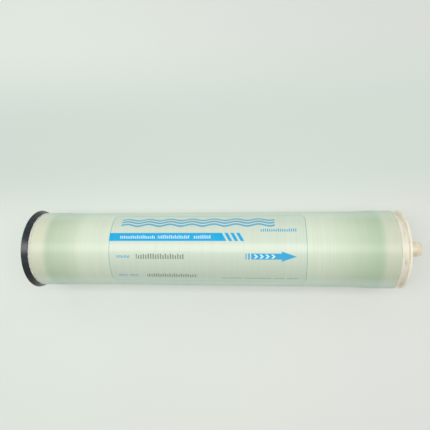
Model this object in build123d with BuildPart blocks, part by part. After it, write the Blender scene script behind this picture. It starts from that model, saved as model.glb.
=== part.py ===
from build123d import *

import os
from math import cos, degrees, radians, sin, sqrt

# Spiral-wound reverse osmosis element of the 4 inch class, 21 inches long
# Feed water enters through the windows of the left end cap and runs along the feed
# spacers to the right end cap. What passes the membrane leaves winds inwards, through the
# drilled permeate tube. The rubber lip seals the element in its pressure vessel.
# Frame: +X along the tube, from the feed end to the brine end, +Z up through the middle
# of the label, origin on the tube's axis half way between its tips. Millimetres.

# Permeate tube
overall_length = 533.4
tube_end_length = 26.7
tube_end_diameter = 19.05
tube_body_diameter = 20.0
tube_bore_diameter = 14.2
tube_lead_length = 5.0
tube_lead_drop = 1.6
drain_hole_diameter = 3.0
drain_hole_count = 4
drain_hole_pitch = 95.0

# End cap: a ring and the spider that stops the leaves from telescoping, alike at both ends
element_diameter = 99.0
rim_width = 2.4
rim_step = 0.4
groove_width = 6.4
groove_depth = 4.7
flange_width = 3.2
skirt_length = 16.0
skirt_wall = 3.8
hub_wall = 4.95
hub_recess = 1.5
spoke_count = 8
spoke_thickness = 2.8
spoke_recess = 5.0

# Glass fibre shell, tape and label
shell_end_wall = 2.65
shell_middle_wall = 1.55
shell_end_width = 26.0
shell_taper_length = 22.0
tape_thickness = 0.35
label_length = 245.0
label_width = 109.0
label_middle = -2.0
label_thickness = 0.15
label_corner = 7.0

# Wound leaves
carrier_wrap_thickness = 1.5
wound_quarters = 5
leaf_share = 0.42

# Brine seal, a U-cup that opens towards the feed
seal_width = 6.9
seal_lip_reach = 3.5
seal_lip_thickness = 1.1
seal_heel_height = 5.0
seal_heel_width = 2.4
seal_foot_height = 1.7

# Clearances
tube_clearance = 0.05
spider_clearance = 0.05
shell_clearance = 0.05
layer_clearance = 0.05
label_clearance = 0.03
seal_clearance = 0.10
shell_end_gap = 0.35

# Places along the axis that follow from the sizes above
tip = overall_length / 2
cap_face = tip - tube_end_length
groove_front = cap_face - rim_width
groove_back = groove_front - groove_width
flange_back = groove_back - flange_width
skirt_end = flange_back - skirt_length
shell_end = flange_back - shell_end_gap

# Radii that follow from the sizes above
element_radius = element_diameter / 2
rim_radius = element_radius - rim_step
groove_radius = element_radius - groove_depth
shell_inner_radius = element_radius - shell_end_wall
shell_radius = shell_inner_radius + shell_middle_wall
skirt_radius = shell_inner_radius - shell_clearance
mouth_radius = skirt_radius - skirt_wall
tape_inner_radius = skirt_radius - tape_thickness
hub_bore_radius = tube_body_diameter / 2 + tube_clearance
hub_radius = hub_bore_radius + hub_wall
carrier_radius = hub_bore_radius + carrier_wrap_thickness

# One leaf and one spacer, laid on each other
packet = (tape_inner_radius - carrier_radius - 2 * layer_clearance) / (wound_quarters + 1)
leaf_thickness = leaf_share * packet - layer_clearance
spacer_depth = leaf_thickness + layer_clearance
spacer_thickness = packet - spacer_depth - layer_clearance

# Permeate tube, its ends turned down for the O-rings of the vessel's couplings
with BuildPart() as permeate_tube:
    with BuildSketch(Plane.XY):
        with BuildLine():
            Polyline(
                (0, tube_body_diameter / 2),
                (cap_face, tube_body_diameter / 2),
                (cap_face, tube_end_diameter / 2),
                (tip - tube_lead_length, tube_end_diameter / 2),
                (tip, tube_end_diameter / 2 - tube_lead_drop),
                (tip, tube_bore_diameter / 2),
                (0, tube_bore_diameter / 2),
            )
            mirror(about=Plane.YZ)
        make_face()
    revolve(axis=Axis.X)
    # drain holes through one wall, each a quarter turn from the one before
    for station in range(drain_hole_count):
        along = (station - (drain_hole_count - 1) / 2) * drain_hole_pitch
        outward = Vector(0, 0, 1).rotate(Axis.X, 90 * station)
        mouth = Vector(along, 0, 0) + outward * tube_body_diameter / 2
        with Locations(Plane(origin=mouth, z_dir=outward)):
            Hole(drain_hole_diameter / 2, depth=tube_body_diameter / 2)

# Carrier cloth wrapped once round the tube, where the four leaves are rooted
with BuildPart() as carrier_wrap:
    with BuildSketch(Plane.YZ.offset(-skirt_end)):
        Circle(carrier_radius)
        Circle(hub_bore_radius, mode=Mode.SUBTRACT)
    extrude(amount=2 * skirt_end)

# Ring of the feed end cap, with the seal's groove, the flange and the shell's skirt
with BuildPart() as feed_cap_ring:
    with BuildSketch(Plane.XY):
        with BuildLine():
            Polyline(
                (-cap_face, mouth_radius),
                (-cap_face, rim_radius),
                (-groove_front, rim_radius),
                (-groove_front, groove_radius),
                (-groove_back, groove_radius),
                (-groove_back, element_radius),
                (-flange_back, element_radius),
                (-flange_back, skirt_radius),
                (-skirt_end, skirt_radius),
                (-skirt_end, mouth_radius),
                close=True,
            )
        make_face()
    revolve(axis=Axis.X)

# Spider of the feed end cap: a hub on the tube and spokes out to the ring, with the
# water windows between them
with BuildPart() as feed_cap_spider:
    spider_radius = mouth_radius - spider_clearance
    with BuildSketch(Plane.YZ.offset(-skirt_end)):
        Circle(spider_radius)
    extrude(amount=skirt_end - cap_face + spoke_recess)
    with BuildSketch(Plane.YZ.offset(-skirt_end)):
        Circle(hub_radius)
    extrude(amount=skirt_end - cap_face + hub_recess)
    with BuildSketch(Plane.YZ.offset(-skirt_end)):
        Circle(2 * mouth_radius)
        Circle(hub_radius, mode=Mode.SUBTRACT)
        with PolarLocations(0, spoke_count, start_angle=180 / spoke_count):
            Rectangle(
                3 * mouth_radius,
                spoke_thickness,
                align=(Align.MIN, Align.CENTER),
                mode=Mode.SUBTRACT,
            )
    extrude(amount=skirt_end - cap_face, mode=Mode.SUBTRACT)
    with Locations(Plane(origin=(-cap_face, 0, 0), z_dir=(-1, 0, 0))):
        Hole(hub_bore_radius)

# Brine end cap, the same two turned end for end, its groove left empty
with BuildPart() as brine_cap_ring:
    mirror(feed_cap_ring.part, about=Plane.YZ)
with BuildPart() as brine_cap_spider:
    mirror(feed_cap_spider.part, about=Plane.YZ)

# Brine seal, its foot on the groove's floor and its lip flared towards the feed
with BuildPart() as brine_seal:
    foot_radius = groove_radius + seal_clearance
    heel_radius = foot_radius + seal_heel_height
    lip_radius = element_radius + seal_lip_reach
    heel = -groove_back - seal_clearance
    lip_tip = heel - seal_width
    throat = heel - seal_heel_width
    foot_tip = -groove_front + seal_clearance
    with BuildSketch(Plane.XY):
        with BuildLine():
            Polyline(
                (heel, foot_radius),
                (heel, heel_radius),
                (lip_tip, lip_radius),
                (lip_tip, lip_radius - seal_lip_thickness),
                (throat, foot_radius + seal_foot_height),
                (foot_tip, foot_radius + seal_foot_height),
                (foot_tip, foot_radius),
                close=True,
            )
        make_face()
    revolve(axis=Axis.X)

# Glass fibre and resin shell, wound thicker where it grips the caps' skirts
with BuildPart() as fibreglass_shell:
    taper_start = shell_end - shell_end_width
    taper_end = taper_start - shell_taper_length
    with BuildSketch(Plane.XY):
        with BuildLine():
            Polyline(
                (0, shell_radius),
                (taper_end, shell_radius),
                (taper_start, element_radius),
                (shell_end, element_radius),
                (shell_end, shell_inner_radius),
                (0, shell_inner_radius),
            )
            mirror(about=Plane.YZ)
        make_face()
    revolve(axis=Axis.X)

# Tape that holds the wound bundle, between the two skirts
with BuildPart() as tape_wrap:
    with BuildSketch(Plane.YZ.offset(-skirt_end)):
        Circle(skirt_radius)
        Circle(tape_inner_radius, mode=Mode.SUBTRACT)
    extrude(amount=2 * skirt_end)

# Label film, one quarter with its round corner, mirrored both ways
with BuildPart() as label:
    label_radius = shell_radius + label_clearance
    half_angle = degrees(label_width / 2 / label_radius)
    corner_bearing = radians(half_angle) - label_corner / label_radius
    with BuildSketch(Plane.XZ):
        with Locations((label_middle, label_radius)):
            Rectangle(label_length / 2, label_thickness, align=(Align.MIN, Align.MIN))
    revolve(axis=Axis.X, revolution_arc=half_angle)
    corner = Plane(
        origin=(label_middle + label_length / 2 - label_corner, 0, 0),
        x_dir=(1, 0, 0),
        z_dir=(0, -sin(corner_bearing), cos(corner_bearing)),
    )
    with BuildSketch(corner.offset(label_radius - label_corner)):
        Rectangle(2 * label_corner, 2 * label_corner, align=(Align.MIN, Align.MAX))
        Circle(label_corner, mode=Mode.SUBTRACT)
    extrude(amount=2 * label_corner, mode=Mode.SUBTRACT)
    mirror(about=Plane.XZ)
    mirror(about=Plane.YZ.offset(label_middle))


def wound_sheet(first_quarter, depth, thickness):
    # Spiral of quarter arcs whose four centres stand on a square one packet wide, so that
    # four sheets started a quarter turn apart lie on each other all the way round
    centre_reach = packet / sqrt(2)
    inner_radius = carrier_radius + layer_clearance + packet / 2 + depth
    with BuildPart() as sheet:
        with BuildSketch(Plane.YZ.offset(-skirt_end)):
            with BuildLine():
                ends = []
                for start_radius in (inner_radius, inner_radius + thickness):
                    for turned in range(wound_quarters):
                        quarter = first_quarter + turned
                        bearing = radians(135 + 90 * quarter)
                        centre = (centre_reach * cos(bearing), centre_reach * sin(bearing))
                        arc = CenterArc(centre, start_radius + packet * turned, 90 * quarter, 90)
                        if turned == 0:
                            ends.append(arc @ 0)
                    ends.append(arc @ 1)
                Line(ends[0], ends[2])
                Line(ends[1], ends[3])
            make_face()
        extrude(amount=2 * skirt_end)
    return sheet


# Membrane leaves, each a glued envelope of membrane round its carrier cloth, and feed
# spacers, the nets between the leaves that keep the feed channels open
membrane_leaves = [wound_sheet(quarter, 0, leaf_thickness) for quarter in range(4)]
feed_spacers = [wound_sheet(quarter, spacer_depth, spacer_thickness) for quarter in range(4)]

permeate_tube.part.label = "permeate_tube"
carrier_wrap.part.label = "carrier_wrap"
feed_cap_ring.part.label = "feed_cap_ring"
feed_cap_spider.part.label = "feed_cap_spider"
brine_cap_ring.part.label = "brine_cap_ring"
brine_cap_spider.part.label = "brine_cap_spider"
brine_seal.part.label = "brine_seal"
fibreglass_shell.part.label = "fibreglass_shell"
tape_wrap.part.label = "tape_wrap"
label.part.label = "label"
for number in range(4):
    membrane_leaves[number].part.label = f"membrane_leaf_{number + 1}"
    feed_spacers[number].part.label = f"feed_spacer_{number + 1}"

os.makedirs("parts", exist_ok=True)
export_step(permeate_tube.part, "parts/permeate_tube.step")
export_step(carrier_wrap.part, "parts/carrier_wrap.step")
export_step(feed_cap_ring.part, "parts/feed_cap_ring.step")
export_step(feed_cap_spider.part, "parts/feed_cap_spider.step")
export_step(brine_cap_ring.part, "parts/brine_cap_ring.step")
export_step(brine_cap_spider.part, "parts/brine_cap_spider.step")
export_step(brine_seal.part, "parts/brine_seal.step")
export_step(fibreglass_shell.part, "parts/fibreglass_shell.step")
export_step(tape_wrap.part, "parts/tape_wrap.step")
export_step(label.part, "parts/label.step")
for number in range(4):
    export_step(membrane_leaves[number].part, f"parts/membrane_leaf_{number + 1}.step")
    export_step(feed_spacers[number].part, f"parts/feed_spacer_{number + 1}.step")
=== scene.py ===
from math import acos, asin, atan2, cos, pi, radians, sin

import bpy
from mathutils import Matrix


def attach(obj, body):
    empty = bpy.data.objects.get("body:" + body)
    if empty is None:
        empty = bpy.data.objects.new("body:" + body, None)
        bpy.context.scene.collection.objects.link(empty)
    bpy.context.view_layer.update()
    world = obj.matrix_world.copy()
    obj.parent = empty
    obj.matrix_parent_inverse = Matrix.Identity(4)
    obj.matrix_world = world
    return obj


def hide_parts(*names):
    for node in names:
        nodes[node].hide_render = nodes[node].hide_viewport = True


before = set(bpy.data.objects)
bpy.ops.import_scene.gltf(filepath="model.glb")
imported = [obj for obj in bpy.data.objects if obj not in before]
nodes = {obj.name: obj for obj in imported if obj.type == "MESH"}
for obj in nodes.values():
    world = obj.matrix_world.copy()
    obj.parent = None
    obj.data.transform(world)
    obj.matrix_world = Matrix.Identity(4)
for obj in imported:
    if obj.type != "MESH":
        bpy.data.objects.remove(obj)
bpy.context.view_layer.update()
millimetres = 1000                      # in a metre
print("frame loaded,", len(nodes), "nodes")


# small helpers

def paint(red, green, blue):
    # a colour as a picture shows it, 0 to 255, turned into the shader's linear one by the sRGB curve
    linear = []
    for level in (red, green, blue):
        level = level / 255
        linear.append(level / 12.92 if level <= 0.04045 else ((level + 0.055) / 1.055) ** 2.4)
    return (*linear, 1)


class Wire:
    # one output of a material's nodes, so that shader maths reads as plain expressions
    def __init__(self, tree, socket=None):
        self.tree = tree
        self.socket = socket

    def node(self, kind, settings=None, inputs=None, output=0):
        made = self.tree.nodes.new(kind)
        for name, value in (settings or {}).items():
            setattr(made, name, value)
        for name, value in (inputs or {}).items():
            if isinstance(value, Wire):
                self.tree.links.new(value.socket, made.inputs[name])
            else:
                made.inputs[name].default_value = value
        return Wire(self.tree, made.outputs[output])

    def maths(self, operation, *values):
        return self.node("ShaderNodeMath", {"operation": operation}, dict(enumerate(values)))

    def __add__(self, other):
        return self.maths("ADD", self, other)

    def __sub__(self, other):
        return self.maths("SUBTRACT", self, other)

    def __rsub__(self, other):
        return self.maths("SUBTRACT", other, self)

    def __mul__(self, other):
        return self.maths("MULTIPLY", self, other)

    def __truediv__(self, other):
        return self.maths("DIVIDE", self, other)

    def __mod__(self, other):
        return self.maths("FLOORED_MODULO", self, other)

    def __lt__(self, other):
        return self.maths("LESS_THAN", self, other)

    def __gt__(self, other):
        return self.maths("GREATER_THAN", self, other)

    def __abs__(self):
        return self.maths("ABSOLUTE", self)

    __radd__ = __add__
    __rmul__ = __mul__

    def wave(self):
        # a sine of this value, moved to 0 to 1
        return self.maths("SINE", self) * 0.5 + 0.5

    def root(self):
        return self.maths("SQRT", self)

    def atLeast(self, other):
        return self.maths("MAXIMUM", self, other)

    def mixed(self, other, share):
        # this value by its share, and the other by the rest
        return self * share + other * (1 - share)

    def spread(self, base, reach):
        # from base upwards by the reach as this value goes from 0 to 1
        return base + self * reach

    def smooth(self, low, high):
        return self.node(
            "ShaderNodeMapRange",
            {"interpolation_type": "SMOOTHSTEP"},
            {"Value": self, "From Min": low, "From Max": high},
        )

    def colours(self, first, second):
        # from the first colour to the second as this value goes from 0 to 1
        return self.node("ShaderNodeMix", {"data_type": "RGBA"}, {0: self, 6: first, 7: second}, 2)

    def parts(self):
        split = self.node("ShaderNodeSeparateXYZ", inputs={0: self})
        return [Wire(self.tree, socket) for socket in split.socket.node.outputs]

    def whiteNoise(self):
        return self.node("ShaderNodeTexWhiteNoise", {"noise_dimensions": "1D"}, {"W": self})

    def noise(self, scale, detail):
        return self.node("ShaderNodeTexNoise", {}, {"Vector": self, "Scale": scale, "Detail": detail})

    def streaks(self, along, across, detail):
        # noise with one scale along the tube and another across it
        scales = (along, across, across)
        stretched = self.node("ShaderNodeVectorMath", {"operation": "MULTIPLY"}, {0: self, 1: scales})
        return stretched.noise(1.0, detail)


def total(wires):
    return sum(wires[1:], wires[0])


def seenRays(wire):
    # 1 for what the camera sees, straight or in a reflection, and 0 for what only lights other things
    kinds = ("Is Camera Ray", "Is Glossy Ray", "Is Transmission Ray")
    camera, glossy, through = [wire.node("ShaderNodeLightPath", output=kind) for kind in kinds]
    return camera.atLeast(glossy).atLeast(through)


def newFinish(name):
    material = bpy.data.materials.new(name)
    material.use_nodes = True
    point = Wire(material.node_tree).node("ShaderNodeTexCoord", output="Object")
    return material, point


def surface(material, colour, roughness, height, depth, **others):
    # depth is the bump's height in metres; each of the others goes on the socket of its name
    tree = material.node_tree
    shader = tree.nodes["Principled BSDF"]
    bump = height.node("ShaderNodeBump", {}, {"Strength": 1.0, "Distance": depth, "Height": height})
    tree.links.new(colour.socket, shader.inputs["Base Color"])
    tree.links.new(roughness.socket, shader.inputs["Roughness"])
    tree.links.new(bump.socket, shader.inputs["Normal"])
    for name, value in others.items():
        socket = shader.inputs[name.replace("_", " ")]
        if isinstance(value, Wire):
            tree.links.new(value.socket, socket)
        else:
            socket.default_value = value
    return material


def plastic(material, colour, roughness, height, settings):
    # light goes into it and comes out again near by, red and green a little farther than blue
    return surface(
        material,
        colour,
        roughness,
        height,
        settings["depth"],
        Subsurface_Weight=settings["glow"],
        Subsurface_Radius=(1.0, 1.0, 0.95),
        Subsurface_Scale=settings["glowReach"],
    )


def dress(names, material):
    for name in names:
        slots = nodes[name].data.materials
        slots.clear()
        slots.append(material)


def deselect():
    if bpy.context.object and bpy.context.object.mode != "OBJECT":
        bpy.ops.object.mode_set(mode="OBJECT")
    bpy.ops.object.select_all(action="DESELECT")


def hand(piece):
    deselect()
    piece.select_set(True)
    bpy.context.view_layer.objects.active = piece


def editAll():
    bpy.ops.object.mode_set(mode="EDIT")
    bpy.ops.mesh.select_all(action="SELECT")


def flatFace(corners):
    # a new piece of one face with the given corners, left in edit mode
    deselect()
    bpy.ops.mesh.primitive_circle_add(vertices=len(corners), fill_type="NGON")
    piece = bpy.context.object
    for corner, place in zip(piece.data.vertices, corners):
        corner.co = place
    editAll()
    return piece


def softenEdges(piece, settings):
    bevel = piece.modifiers.new("softEdges", "BEVEL")
    bevel.width = settings["edge"]
    bevel.segments = settings["edgeSteps"]
    bevel.limit_method = "ANGLE"
    bevel.angle_limit = radians(settings["edgeAngle"])
    bpy.ops.object.modifier_apply(modifier=bevel.name)


# camera, floor and light

cameraSet = {
    "place": (0.05912, -0.01378, 0.52607),
    "turn": (6.4285, 5.9033, 0.3017),   # degrees about X, Y and Z
    "focalPixels": 393.2,
    "picturePixels": 430,
    "sensor": 36,
}
floorSet = {
    "half": 12.0,
    "sealDrop": 0.0531,                 # the element rests on its seal at one end
    "sealAlong": -0.2382,
    "rimDrop": 0.0496,                  # and on its shell at the other
    "rimAlong": 0.228,
    "left": paint(220, 227, 220),
    "right": paint(219, 220, 216),
    "rightFrom": (-0.35, 0.35),
    "rightShare": 0.8,                  # the rest is mottle
    "mottle": (9.0, 3.0),
    "paintedFloorShade": paint(204, 213, 206),        # painted shade: a darker stretch of floor beyond the element
    "paintedFloorShadeFrom": (0.02, 0.14),
    "paintedFloorShadeTo": (0.18, 0.34),
    "paintedFloorShadeStays": 0.5,                    # how much of it runs on at the right
    "glow": 0.35,                       # the share of the seen brightness that no shadow takes
    "unlit": paint(0, 0, 0),
    "beyond": paint(180, 184, 180),     # added far from the lamps, so that the floor runs on into the room
    "beyondFrom": (0.7, 2.6),
    "roughness": (0.75, 0.1),
    "grain": (900.0, 2.0),
    "depth": 0.00002,
    "specular": 0.2,
}
lampSet = {
    "sky": {"place": (0.0, 0.03, 1.5), "size": (2.6, 0.65), "power": 24.5, "glint": True},
    "window": {"place": (0.0, 1.0, 1.2), "size": (2.6, 0.9), "power": 5.0, "glint": False},
    "tint": (1.0, 1.0, 0.985),
}
roomSet = {
    "colour": paint(232, 236, 232),
    "strength": 0.34,
    "seenStrength": 0.84,               # what the camera and reflections see of the room
}


def addCamera():
    bpy.ops.object.camera_add(
        location=cameraSet["place"], rotation=[radians(angle) for angle in cameraSet["turn"]]
    )
    camera = bpy.context.object
    camera.name = "photoCamera"
    camera.data.sensor_width = cameraSet["sensor"]
    camera.data.lens = cameraSet["sensor"] * cameraSet["focalPixels"] / cameraSet["picturePixels"]
    bpy.context.scene.camera = camera


def floorFinish():
    material, point = newFinish("paleFloor")
    along, across = point.parts()[:2]
    right = along.smooth(*floorSet["rightFrom"])
    mottle = point.noise(*floorSet["mottle"])
    # painted shade: a darker stretch of floor beyond the element, less of it at the right
    bright = (1 - right * floorSet["paintedFloorShadeStays"]) * across.smooth(*floorSet["paintedFloorShadeTo"])
    paintedFloorShade = across.smooth(*floorSet["paintedFloorShadeFrom"]) * (1 - bright)
    colour = right.mixed(mottle, floorSet["rightShare"]).colours(floorSet["left"], floorSet["right"])
    colour = paintedFloorShade.colours(colour, floorSet["paintedFloorShade"])
    seen = seenRays(point)
    beyond = (along * along + across * across).root().smooth(*floorSet["beyondFrom"])
    glow = (seen * floorSet["glow"]).colours(floorSet["unlit"], colour)
    glow = (seen * beyond).colours(glow, floorSet["beyond"])
    colour = (seen * (floorSet["glow"] * (1 - beyond))).colours(colour, floorSet["unlit"])
    return surface(
        material,
        colour,
        mottle.spread(*floorSet["roughness"]),
        point.noise(*floorSet["grain"]),
        floorSet["depth"],
        Specular_IOR_Level=floorSet["specular"],
        Emission_Color=glow,
        Emission_Strength=1.0,
    )


def addFloor():
    slope = (floorSet["sealDrop"] - floorSet["rimDrop"]) / (floorSet["rimAlong"] - floorSet["sealAlong"])
    level = -floorSet["sealDrop"] - slope * floorSet["sealAlong"]
    bpy.ops.mesh.primitive_plane_add(size=2 * floorSet["half"])
    floor = bpy.context.object
    floor.name = "paleTable"
    for corner in floor.data.vertices:
        corner.co.z = level + slope * corner.co.x
    floor.data.materials.append(floorFinish())


def addLights():
    for name in ("sky", "window"):
        part = lampSet[name]
        bpy.ops.object.light_add(type="AREA", location=part["place"])
        lamp = bpy.context.object
        lamp.name = name + "Light"
        lamp.data.shape = "RECTANGLE"
        lamp.data.size, lamp.data.size_y = part["size"]
        lamp.data.energy = part["power"]
        lamp.data.color = lampSet["tint"]
        lamp.visible_glossy = part["glint"]
        down = -lamp.location
        lamp.rotation_euler = down.to_track_quat("-Z", "Y").to_euler()
    world = bpy.data.worlds.new("paleRoom")
    bpy.context.scene.world = world
    world.use_nodes = True
    background = world.node_tree.nodes["Background"]
    background.inputs["Color"].default_value = roomSet["colour"]
    extra = roomSet["seenStrength"] - roomSet["strength"]
    strength = roomSet["strength"] + seenRays(Wire(world.node_tree)) * extra
    world.node_tree.links.new(strength.socket, background.inputs["Strength"])
    bpy.context.scene.view_settings.view_transform = "Standard"


addCamera()
addFloor()
addLights()
print("camera, floor and light set")


# glass fibre shell

shellSet = {
    "middle": paint(211, 220, 201),
    "green": paint(182, 198, 172),
    "overFeedSkirt": paint(208, 211, 189),
    "overBrineSkirt": paint(201, 205, 184),
    "skirtEnd": 0.2095,                 # the caps' skirts shine through a little beyond their ends
    "skirtSoft": 0.005,
    "paintedGapShadeColour": paint(160, 182, 154),    # painted shade: a darker band where the bundle ends under the resin, in the gap beside the skirt
    "paintedGapShadeShare": 0.3,
    "paintedGapShadeFrom": (0.188, 0.205),
    "feedGreen": (0.156, 0.190),        # no green to full green, away from the middle
    "brineGreen": (0.136, 0.200),
    "feedShare": 0.8,
    "drift": (22, 9, 3.0),              # how the green's edge wanders
    "driftReach": 0.016,
    "fine": (2600, 30, 2.0),            # single turns of the roving
    "broad": (420, 12, 3.0),            # broader bands of them
    "crossing": (900, 55),
    "streak": paint(150, 170, 146),
    "streakFrom": (0.3, 0.75),
    "streakShare": 0.14,
    "under": paint(150, 168, 142),      # painted shade: darker and greener on the side of the tube turned from the window light
    "paintedUnderShadeFrom": (0.002, -0.022),
    "paintedUnderShadeTo": (-0.049, -0.036),
    "paintedUnderShadeShare": 0.17,
    "rim": paint(222, 248, 240),        # painted light: lighter and bluer towards both sides of the tube, where reflected light falls
    "paintedTopLightFrom": (0.032, 0.047),
    "paintedTopLightShare": 0.34,
    "paintedLowSideFrom": (-0.033, -0.047),
    "paintedLowLightShare": 0.45,
    "roughness": (0.42, 0.18),
    "relief": {"fine": 0.55, "broad": 0.35, "crossing": 0.10},
    "depth": 0.00004,
    "specular": 0.12,
    "coat": 0.3,
    "labelCoat": 0.6,                   # the film under it lies smoother than the roving
    "inkDulls": 0.9,                    # the share of that gloss lost where the print is solid blue
    "coatRoughness": 0.2,
}


def strands(point):
    # glass roving wound round the shell: fine close turns, broader bands of them and a crossing pattern
    along, across = point.parts()[:2]
    alongScale, acrossScale = shellSet["crossing"]
    return {
        "fine": point.streaks(*shellSet["fine"]),
        "broad": point.streaks(*shellSet["broad"]),
        "crossing": (along * alongScale + across * acrossScale).wave(),
    }


def woundResin(colour, point, roving, paintedLowLightShare):
    # over a colour: the roving's streaks, painted shade on one side and painted light towards both sides
    across = point.parts()[1]
    streak = roving["fine"].mixed(roving["broad"], 0.5).smooth(*shellSet["streakFrom"])
    under = across.smooth(*shellSet["paintedUnderShadeFrom"]) * across.smooth(*shellSet["paintedUnderShadeTo"])
    low = across.smooth(*shellSet["paintedLowSideFrom"]) * paintedLowLightShare
    high = across.smooth(*shellSet["paintedTopLightFrom"]) * shellSet["paintedTopLightShare"]
    colour = (streak * shellSet["streakShare"]).colours(colour, shellSet["streak"])
    # painted shade on the side turned from the window light
    colour = (under * shellSet["paintedUnderShadeShare"]).colours(colour, shellSet["under"])
    # painted light towards both sides of the tube
    return (low + high).colours(colour, shellSet["rim"])


def glossedSurface(material, colour, roving, coat):
    # the roving's fine relief under a clear coat of resin
    return surface(
        material,
        colour,
        roving["broad"].spread(*shellSet["roughness"]),
        total([roving[name] * share for name, share in shellSet["relief"].items()]),
        shellSet["depth"],
        Specular_IOR_Level=shellSet["specular"],
        Coat_Weight=coat,
        Coat_Roughness=shellSet["coatRoughness"],
    )


def shellColour(point):
    along = point.parts()[0]
    reach = shellSet["driftReach"]
    drift = point.streaks(*shellSet["drift"]) * reach - reach / 2
    feed = (drift - along).smooth(*shellSet["feedGreen"])
    brine = (drift + along).smooth(*shellSet["brineGreen"])
    colour = (feed * shellSet["feedShare"] + brine).colours(shellSet["middle"], shellSet["green"])
    # painted shade just inside each skirt's end
    paintedGapShade = abs(along).smooth(*shellSet["paintedGapShadeFrom"]) * shellSet["paintedGapShadeShare"]
    colour = paintedGapShade.colours(colour, shellSet["paintedGapShadeColour"])
    end, soft = shellSet["skirtEnd"], shellSet["skirtSoft"]
    overSkirt = (along > 0.0).colours(shellSet["overFeedSkirt"], shellSet["overBrineSkirt"])
    return abs(along).smooth(end - soft, end + soft).colours(colour, overSkirt)


def shellFinish():
    material, point = newFinish("woundGlassShell")
    roving = strands(point)
    colour = woundResin(shellColour(point), point, roving, shellSet["paintedLowLightShare"])
    return glossedSurface(material, colour, roving, shellSet["coat"])


# printed label, under the shell's gloss

# millimetres: along the tube from the middle, and round the shell from its top, up the picture
labelSet = {
    "radius": 48.5,
    "left": -124.5,
    "right": 120.5,
    "reach": 54.5,
    "soft": 0.2,                        # half the blur of a printed edge
    # the share of painted light towards the label's low side
    "paintedLowLightShare": 0.52,
    "film": paint(205, 215, 200),
    "blue": paint(0, 164, 220),
    "paleBlue": paint(24, 160, 206),
    "lineBlue": paint(112, 160, 164),
    "ink": paint(98, 108, 98),
    "white": paint(236, 248, 250),
    "outline": {"line": 0.6, "corner": 7.0, "inset": 5.6, "endInset": 0.3, "soft": 0.15},
    "wave": {
        "left": -112.0,
        "right": 82.5,
        "middle": 35.2,
        "length": 27.8,
        "height": 3.2,
        "gap": 4.8,
        "line": 1.4,
        "share": 0.85,
    },
    "bar": {"low": 8.2, "high": 18.8, "right": 23.6, "lean": 0.55},
    "stripes": {"gap": 2.9, "pitch": 7.2, "width": 4.3, "count": 3},
    # how uneven strokes are, as a share of their height, and how wide, as a share of their pitch
    "words": {"uneven": 0.35, "stroke": 0.56, "soft": 0.1},
    "barWords": {"spans": ((-111, -66), (-62, -22), (-17, 4)), "low": 11.2, "high": 15.8, "pitch": 2.4},
    "barWordsShare": 0.65,
    "blueWords": (
        {"spans": ((64.0, 108.4),), "low": 20.4, "high": 24.8, "pitch": 2.6},
        {"spans": ((-115, -97),), "low": -13.0, "high": -9.2, "pitch": 1.9},
        {"spans": ((-115, -103), (-100.5, -89.6)), "low": -39.8, "high": -36.2, "pitch": 1.9},
    ),
    "blueWordsShare": 0.9,
    "codes": (
        {"spans": ((-89.4, -28.2),), "low": -14.2, "high": -7.4, "pitch": 3.1},
        {"spans": ((-77.8, -13.9),), "low": -41.2, "high": -34.8, "pitch": 2.9},
        {
            "spans": ((16.3, 42), (44.5, 78), (80.5, 94), (96.5, 110.8)),
            "low": -43.2,
            "high": -41.0,
            "pitch": 1.7,
        },
    ),
    "codesShare": 0.8,
    "arrow": {
        "left": 53.5,
        "neck": 90.0,
        "tip": 108.2,
        "middle": -10.6,
        "half": 3.7,
        "headHalf": 6.4,
        "headSoft": 0.3,
        "tail": ((46.6, 47.9), (49.8, 51.8)),
    },
    "chevrons": {
        "left": 59,
        "right": 86.5,
        "half": 2.5,
        "lean": 1.1,
        "pitch": 7.0,
        "width": 2.6,
        "share": 0.85,
    },
}


def below(value, edge, soft=labelSet["soft"]):
    return 1 - value.smooth(edge - soft, edge + soft)


def band(value, low, high, soft=labelSet["soft"]):
    return value.smooth(low - soft, low + soft) * below(value, high, soft)


def wordMarks(along, around, words):
    # where the photograph has words: upright strokes of uneven height, in runs as long as the words
    look = labelSet["words"]
    cell = along / words["pitch"]
    chance = cell.maths("FLOOR", cell).whiteNoise()
    top = words["high"] - chance * (look["uneven"] * (words["high"] - words["low"]))
    strokes = ((cell % 1.0) < look["stroke"]) * band(around, words["low"], top)
    return total([band(along, left, right, look["soft"]) for left, right in words["spans"]]) * strokes


def barPrint(along, around):
    # a bar with a slanted end and the stripes after it
    bar, stripes = labelSet["bar"], labelSet["stripes"]
    leaned = along + (around - bar["low"]) * bar["lean"]
    blue = [below(leaned, bar["right"])]
    for number in range(stripes["count"]):
        left = bar["right"] + stripes["gap"] + number * stripes["pitch"]
        blue.append(band(leaned, left, left + stripes["width"]))
    return total(blue) * band(around, bar["low"], bar["high"])


def arrowPrint(along, around):
    # an arrow, and the white chevrons on it that point the way the water goes
    arrow, chevrons = labelSet["arrow"], labelSet["chevrons"]
    offset = abs(around - arrow["middle"])
    within = below(offset, arrow["half"])
    body = band(along, arrow["left"], arrow["neck"]) * within
    slope = arrow["headHalf"] / (arrow["tip"] - arrow["neck"])
    edge = offset + (along - arrow["neck"]) * slope
    head = along.smooth(arrow["neck"] - labelSet["soft"], arrow["neck"]) * (
        1 - edge.smooth(arrow["headHalf"] - arrow["headSoft"], arrow["headHalf"])
    )
    tail = total([band(along, left, right) for left, right in arrow["tail"]]) * within
    leaned = along + offset * chevrons["lean"]
    chevron = (
        ((leaned - chevrons["left"]) % chevrons["pitch"] < chevrons["width"])
        * band(leaned, chevrons["left"], chevrons["right"])
        * (offset < chevrons["half"])
    )
    return body.atLeast(head) + tail, chevron


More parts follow.
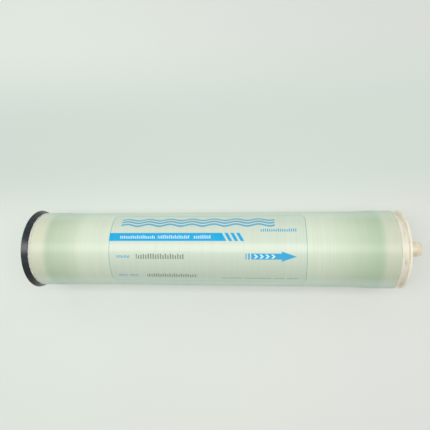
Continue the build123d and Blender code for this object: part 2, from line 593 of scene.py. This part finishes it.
def wavePrint(along, around):
    wave = labelSet["wave"]
    ripple = (along * (2 * pi / wave["length"])).wave()
    height = around - wave["middle"] - (ripple - 0.5) * wave["height"]
    sides = (0, -wave["gap"], wave["gap"])
    lines = total([band(height, side - wave["line"], side + wave["line"]) for side in sides])
    return lines * band(along, wave["left"], wave["right"])


def outlinePrint(along, around):
    outline = labelSet["outline"]
    corner = outline["corner"]
    middle = (labelSet["left"] + labelSet["right"]) / 2
    halfLength = (labelSet["right"] - labelSet["left"]) / 2 - outline["endInset"]
    halfWidth = labelSet["reach"] - outline["inset"]
    overX = (abs(along - middle) - (halfLength - corner)).atLeast(0.0)
    overY = (abs(around) - (halfWidth - corner)).atLeast(0.0)
    distance = (overX * overX + overY * overY).root()
    return band(distance, corner - outline["line"], corner, outline["soft"])


def labelFinish():
    material, point = newFinish("printedLabel")
    roving = strands(point)
    x, y, z = point.parts()
    along = x * millimetres
    around = y.maths("ARCTAN2", y, z) * labelSet["radius"]
    bar = barPrint(along, around)
    arrow, chevron = arrowPrint(along, around)
    prints = [
        (outlinePrint(along, around), "lineBlue"),
        (wavePrint(along, around) * labelSet["wave"]["share"], "paleBlue"),
        (bar, "blue"),
        (wordMarks(along, around, labelSet["barWords"]) * labelSet["barWordsShare"], "white"),
        (arrow, "blue"),
        (chevron * labelSet["chevrons"]["share"], "white"),
    ]
    for words in labelSet["blueWords"]:
        prints.append((wordMarks(along, around, words) * labelSet["blueWordsShare"], "paleBlue"))
    for words in labelSet["codes"]:
        prints.append((wordMarks(along, around, words) * labelSet["codesShare"], "ink"))
    colour = labelSet["film"]
    for mask, paintName in prints:
        colour = mask.colours(colour, labelSet[paintName])
    colour = woundResin(colour, point, roving, labelSet["paintedLowLightShare"])
    coat = shellSet["labelCoat"] * (1 - shellSet["inkDulls"] * bar.atLeast(arrow))
    return glossedSurface(material, colour, roving, coat)


dress(["fibreglass_shell"], shellFinish())
dress(["label"], labelFinish())
print("shell and label finished")


# moulded end caps

capSet = {
    "merge": 0.00001,
    "flat": 0.5,                        # degrees between faces that become one
    "rim": 0.0002,                      # how deep the corners lie that move outwards
    "spokeGrowth": 0.0009,
    "edge": 0.00045,
    "edgeSteps": 2,
    "edgeAngle": 35,
    "smoothAngle": 30,
    "body": paint(235, 225, 205),
    "shade": paint(225, 213, 192),
    "shadeFrom": (0.35, 0.75),
    "shadeShare": 0.5,
    "cloud": (60.0, 3.0),
    "grain": (2200.0, 2.0),
    "grainShare": 0.6,
    "roughness": (0.24, 0.14),
    "depth": 0.00002,
    "glow": 1.0,                        # the share of the light that goes in and comes out near by
    "glowReach": 0.01,
}


def capFinish():
    material, point = newFinish("creamMoulding")
    cloud = point.noise(*capSet["cloud"])
    grain = point.noise(*capSet["grain"])
    shade = cloud.smooth(*capSet["shadeFrom"]) * capSet["shadeShare"]
    colour = shade.colours(capSet["body"], capSet["shade"])
    relief = grain.mixed(cloud, capSet["grainShare"])
    return plastic(material, colour, cloud.spread(*capSet["roughness"]), relief, capSet)


def softenedCopy(node, name, growth):
    # a merged copy of a CAD node with its corners rounded; growth moves its outermost faces outwards
    piece = nodes[node].copy()
    piece.data = nodes[node].data.copy()
    piece.name = name
    piece.parent = None
    bpy.context.collection.objects.link(piece)
    hand(piece)
    editAll()
    bpy.ops.mesh.remove_doubles(threshold=capSet["merge"])
    bpy.ops.mesh.dissolve_limited(angle_limit=radians(capSet["flat"]))
    bpy.ops.object.mode_set(mode="OBJECT")
    reach = max(corner.co.yz.length for corner in piece.data.vertices)
    for corner in piece.data.vertices:
        if corner.co.yz.length > reach - capSet["rim"]:
            corner.co.yz = corner.co.yz * (1 + growth / reach)
    softenEdges(piece, capSet)
    bpy.ops.object.shade_smooth_by_angle(angle=radians(capSet["smoothAngle"]))
    return piece


def capMoulding(end):
    # the CAD's ring and spider are one moulding, so the spokes run on into the ring
    ring = softenedCopy(end + "_cap_ring", end + "CapMoulding", 0)
    spider = softenedCopy(end + "_cap_spider", end + "CapSpider", capSet["spokeGrowth"])
    hand(ring)
    spider.select_set(True)
    bpy.ops.object.join()
    ring.data.materials.clear()
    ring.data.materials.append(cream)
    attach(ring, "root")
    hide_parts(end + "_cap_ring", end + "_cap_spider")


cream = capFinish()
capMoulding("feed")
capMoulding("brine")
print("end caps finished")


# brine seal

sealSet = {
    # the CAD's U-cup with its lip bowed: distances along the tube and from its axis
    "outline": (
        (-0.2313, 0.0449),
        (-0.2313, 0.0499),
        (-0.2335, 0.0504),
        (-0.2359, 0.0516),
        (-0.2382, 0.0530),
        (-0.2382, 0.0519),
        (-0.2357, 0.0500),
        (-0.2337, 0.0475),
        (-0.2337, 0.0466),
        (-0.2375, 0.0464),
        (-0.2375, 0.0449),
    ),
    "edge": 0.00028,
    "edgeSteps": 2,
    "turnSteps": 128,
    "merge": 0.000005,
    "smoothAngle": 40,
    "black": paint(20, 32, 38),
    "bloom": paint(54, 66, 68),
    "bloomFrom": (0.45, 0.8),
    "bloomShare": 0.6,
    # painted shade: nearly black towards the low side
    "paintedLowSideShade": paint(4, 8, 10),
    "paintedLowSideFrom": (-0.015, -0.035),
    "dust": (140.0, 4.0),
    "grain": (3000, 400, 2.0),
    "grainShare": 0.5,
    "roughness": (0.20, 0.16),
    "depth": 0.00003,
}


def sealFinish():
    material, point = newFinish("blackLipRubber")
    dust = point.noise(*sealSet["dust"])
    grain = point.streaks(*sealSet["grain"])
    bloom = dust.smooth(*sealSet["bloomFrom"]) * sealSet["bloomShare"]
    colour = bloom.colours(sealSet["black"], sealSet["bloom"])
    across = point.parts()[1]
    # painted shade: nearly black towards the low side
    colour = across.smooth(*sealSet["paintedLowSideFrom"]).colours(colour, sealSet["paintedLowSideShade"])
    relief = grain.mixed(dust, sealSet["grainShare"])
    return surface(material, colour, dust.spread(*sealSet["roughness"]), relief, sealSet["depth"])


def spunSeal():
    # the cross-section's corners are rounded, then it is spun about the tube's axis
    ring = flatFace([(along, 0, radius) for along, radius in sealSet["outline"]])
    ring.name = "lipSeal"
    bpy.ops.mesh.bevel(offset=sealSet["edge"], segments=sealSet["edgeSteps"], affect="VERTICES")
    bpy.ops.mesh.select_all(action="SELECT")
    bpy.ops.mesh.delete(type="ONLY_FACE")
    bpy.ops.mesh.select_all(action="SELECT")
    bpy.ops.mesh.spin(steps=sealSet["turnSteps"], angle=2 * pi, center=(0, 0, 0), axis=(1, 0, 0))
    bpy.ops.mesh.select_all(action="SELECT")
    bpy.ops.mesh.remove_doubles(threshold=sealSet["merge"])
    bpy.ops.mesh.normals_make_consistent(inside=False)
    bpy.ops.object.mode_set(mode="OBJECT")
    bpy.ops.object.shade_smooth_by_angle(angle=radians(sealSet["smoothAngle"]))
    return ring


seal = spunSeal()
seal.data.materials.append(sealFinish())
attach(seal, "root")
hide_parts("brine_seal")
print("seal finished")


# permeate tube

tubeSet = {
    "body": paint(240, 226, 203),
    "warm": paint(226, 207, 177),
    "drawn": (14, 900, 2.0),
    "drawnShare": 0.5,
    "cloud": (45.0, 2.0),
    "cloudShare": 0.3,
    "roughness": (0.24, 0.14),
    "depth": 0.00002,
    "glow": 0.8,
    "glowReach": 0.008,
}


def tubeFinish():
    material, point = newFinish("beigeTube")
    drawn = point.streaks(*tubeSet["drawn"])
    cloud = point.noise(*tubeSet["cloud"])
    warm = drawn * tubeSet["drawnShare"] + cloud * tubeSet["cloudShare"]
    colour = warm.colours(tubeSet["body"], tubeSet["warm"])
    return plastic(material, colour, drawn.spread(*tubeSet["roughness"]), drawn, tubeSet)


dress(["permeate_tube"], tubeFinish())


# wound bundle, whose ends show through the caps' windows

windingTurn = 0.0232                    # how far a sheet moves out in a whole turn
leafSet = {
    "membrane": paint(226, 224, 212),
    "glue": paint(196, 190, 168),
    "sheet": 0.00055,
    "layerFrom": (0.25, 0.75),
    "layerShare": 0.45,
    "blot": (120.0, 3.0),
    "blotShare": 0.3,
    "fibre": (3000.0, 2.0),
    "layerRelief": 0.6,
    "roughness": (0.62, 0.2),
    "depth": 0.00006,
}
netSet = {
    "net": paint(188, 206, 196),
    # painted shade in the net's openings
    "gap": paint(92, 108, 102),
    "netFrom": (0.1, 0.8),
    "strand": 0.0011,
    "meshes": 260,
    "lean": 0.35,
    "threadFrom": (0.32, 0.42),
    "threadShare": 0.6,
    "ribFrom": (0.18, 0.34),
    "grain": (2500.0, 2.0),
    "grainShare": 0.2,
    "roughness": (0.5, 0.2),
    "depth": 0.0002,
}
clothSet = {
    "cloth": paint(224, 224, 218),
    "shade": paint(196, 190, 168),
    "shadeShare": 0.35,
    "ribs": 96,
    "ribShare": 0.6,
    "loop": 0.0012,
    "roughness": (0.8, 0.1),
    "depth": 0.00012,
}
tapeSet = {
    "tape": paint(158, 190, 160),
    "pale": paint(188, 206, 196),
    "paleFrom": (0.3, 0.8),
    "paleShare": 0.5,
    "wrinkle": (60, 25, 4.0),
    "wrinkleShare": 0.7,
    "grain": (900.0, 2.0),
    "roughness": (0.35, 0.2),
    "depth": 0.00008,
}


def spiralPhase(point, pitch):
    # grows by one for each pitch outwards and by whole steps a turn, so that lines drawn on it are spirals
    y, z = point.parts()[1:]
    radius = (y * y + z * z).root()
    turns = z.maths("ARCTAN2", z, y) / (2 * pi)
    stepsPerTurn = round(windingTurn / pitch)
    return radius * (stepsPerTurn / windingTurn) - turns * stepsPerTurn, turns


def leafFinish():
    material, point = newFinish("membraneLeaf")
    phase = spiralPhase(point, leafSet["sheet"])[0]
    layer = (phase % 1.0).smooth(*leafSet["layerFrom"])
    fibre = point.noise(*leafSet["fibre"])
    blot = point.noise(*leafSet["blot"])
    glued = layer * leafSet["layerShare"] + blot * leafSet["blotShare"]
    colour = glued.colours(leafSet["membrane"], leafSet["glue"])
    relief = layer.mixed(fibre, leafSet["layerRelief"])
    return surface(material, colour, fibre.spread(*leafSet["roughness"]), relief, leafSet["depth"])


def netFinish():
    material, point = newFinish("feedSpacerNet")
    phase, turns = spiralPhase(point, netSet["strand"])
    meshes = turns * netSet["meshes"]
    lean = point.parts()[0] * millimetres * netSet["lean"]
    over = abs((meshes + lean) % 1.0 - 0.5).smooth(*netSet["threadFrom"])
    under = abs((meshes - lean) % 1.0 - 0.5).smooth(*netSet["threadFrom"])
    ribs = abs(phase % 1.0 - 0.5).smooth(*netSet["ribFrom"])
    grain = point.noise(*netSet["grain"])
    shown = grain.mixed(over.atLeast(under).mixed(ribs, netSet["threadShare"]), netSet["grainShare"])
    # threads over painted shade in the openings
    colour = shown.smooth(*netSet["netFrom"]).colours(netSet["gap"], netSet["net"])
    return surface(material, colour, grain.spread(*netSet["roughness"]), shown, netSet["depth"])


def clothFinish():
    material, point = newFinish("carrierCloth")
    x, y, z = point.parts()
    ribs = (z.maths("ARCTAN2", z, y) * clothSet["ribs"]).wave()
    loops = (x * (2 * pi / clothSet["loop"])).wave()
    weave = ribs.mixed(loops, clothSet["ribShare"])
    colour = (weave * clothSet["shadeShare"]).colours(clothSet["cloth"], clothSet["shade"])
    return surface(material, colour, weave.spread(*clothSet["roughness"]), weave, clothSet["depth"])


def tapeFinish():
    material, point = newFinish("greenTape")
    wrinkle = point.streaks(*tapeSet["wrinkle"])
    grain = point.noise(*tapeSet["grain"])
    pale = wrinkle.smooth(*tapeSet["paleFrom"]) * tapeSet["paleShare"]
    colour = pale.colours(tapeSet["tape"], tapeSet["pale"])
    relief = wrinkle.mixed(grain, tapeSet["wrinkleShare"])
    return surface(material, colour, wrinkle.spread(*tapeSet["roughness"]), relief, tapeSet["depth"])


dress([f"membrane_leaf_{number}" for number in range(1, 5)], leafFinish())
dress([f"feed_spacer_{number}" for number in range(1, 5)], netFinish())
dress(["carrier_wrap"], clothFinish())
dress(["tape_wrap"], tapeFinish())
print("tube and bundle finished")


# glue in the wedges beside the sheets' ends, out to the tape and in to the carrier wrap

glueSet = {
    "packet": 0.0058,                   # one leaf and one spacer
    "firstRadius": 0.0145,              # a leaf's inner face in its first quarter turn
    "lastRadius": 0.04345,              # a spacer's outer face in its last
    "wrap": 0.01155,
    "tape": 0.04645,
    "gap": 0.0001,
    "face": 0.2116,
    "length": 0.006,
    "outerArc": (0.2, 50),              # degrees
    "innerArc": (35, 89.5),
    "arcSteps": 14,
    "edge": 0.0003,
    "edgeSteps": 2,
    "edgeAngle": 40,
    "smoothAngle": 40,
    "resin": paint(214, 206, 178),
    "cloudy": paint(184, 174, 142),
    "cloudyFrom": (0.3, 0.7),
    "cloud": (260.0, 3.0),
    "cloudShare": 0.7,
    "ripple": (900.0, 2.0),
    "roughness": (0.3, 0.2),
    "depth": 0.00015,
}


def glueFinish():
    material, point = newFinish("curedGlue")
    cloud = point.noise(*glueSet["cloud"])
    ripple = point.noise(*glueSet["ripple"])
    colour = cloud.smooth(*glueSet["cloudyFrom"]).colours(glueSet["resin"], glueSet["cloudy"])
    relief = cloud.mixed(ripple, glueSet["cloudShare"])
    return surface(material, colour, cloud.spread(*glueSet["roughness"]), relief, glueSet["depth"])


def arcPoints(centre, radius, first, last):
    points = []
    for step in range(glueSet["arcSteps"] + 1):
        angle = first + (last - first) * step / glueSet["arcSteps"]
        points.append((centre[0] + radius * cos(angle), centre[1] + radius * sin(angle)))
    return points


def outerWedge():
    # between a spacer's last quarter turn, the tape and the end of the sheet before
    half, gap = glueSet["packet"] / 2, glueSet["gap"]
    low, high = glueSet["outerArc"]
    sheet = arcPoints((-half, half), glueSet["lastRadius"] + gap, radians(low), radians(high))
    radius = glueSet["tape"] - gap
    last = sheet[-1]
    return sheet + arcPoints((0, 0), radius, atan2(last[1], last[0]), asin((half + gap) / radius))


def innerWedge():
    # between a leaf's first quarter turn, the carrier wrap and the start of the sheet after
    half, gap = glueSet["packet"] / 2, glueSet["gap"]
    low, high = glueSet["innerArc"]
    sheet = arcPoints((-half, half), glueSet["firstRadius"] - gap, radians(low), radians(high))
    radius = glueSet["wrap"] + gap
    first = sheet[0]
    return sheet + arcPoints((0, 0), radius, acos((gap - half) / radius), atan2(first[1], first[0]))


def glueBead(outline):
    bead = flatFace([(glueSet["face"], across, up) for across, up in outline])
    bpy.ops.mesh.extrude_region_move(TRANSFORM_OT_translate={"value": (-glueSet["length"], 0, 0)})
    bpy.ops.mesh.select_all(action="SELECT")
    bpy.ops.mesh.normals_make_consistent(inside=False)
    bpy.ops.object.mode_set(mode="OBJECT")
    softenEdges(bead, glueSet)
    return bead


def glueEnd(name, mirrored):
    # the two beads, copied to each quarter turn and joined
    beads = []
    for outline in (outerWedge(), innerWedge()):
        bead = glueBead(outline)
        for quarter in range(4):
            hand(bead)
            if quarter:
                bpy.ops.object.duplicate()
                bead = bpy.context.object
                editAll()
                bpy.ops.transform.rotate(value=pi / 2, orient_axis="X", center_override=(0, 0, 0))
                bpy.ops.object.mode_set(mode="OBJECT")
            beads.append(bead)
    deselect()
    for bead in beads:
        bead.select_set(True)
    bpy.context.view_layer.objects.active = beads[0]
    bpy.ops.object.join()
    piece = bpy.context.object
    piece.name = name
    editAll()
    if mirrored:
        bpy.ops.transform.resize(value=(-1, 1, 1), center_override=(0, 0, 0))
    bpy.ops.mesh.normals_make_consistent(inside=False)
    bpy.ops.object.mode_set(mode="OBJECT")
    bpy.ops.object.shade_smooth_by_angle(angle=radians(glueSet["smoothAngle"]))
    piece.data.materials.append(glue)
    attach(piece, "root")


glue = glueFinish()
glueEnd("feedGlueBeads", True)
glueEnd("brineGlueBeads", False)
print("glue beads finished")
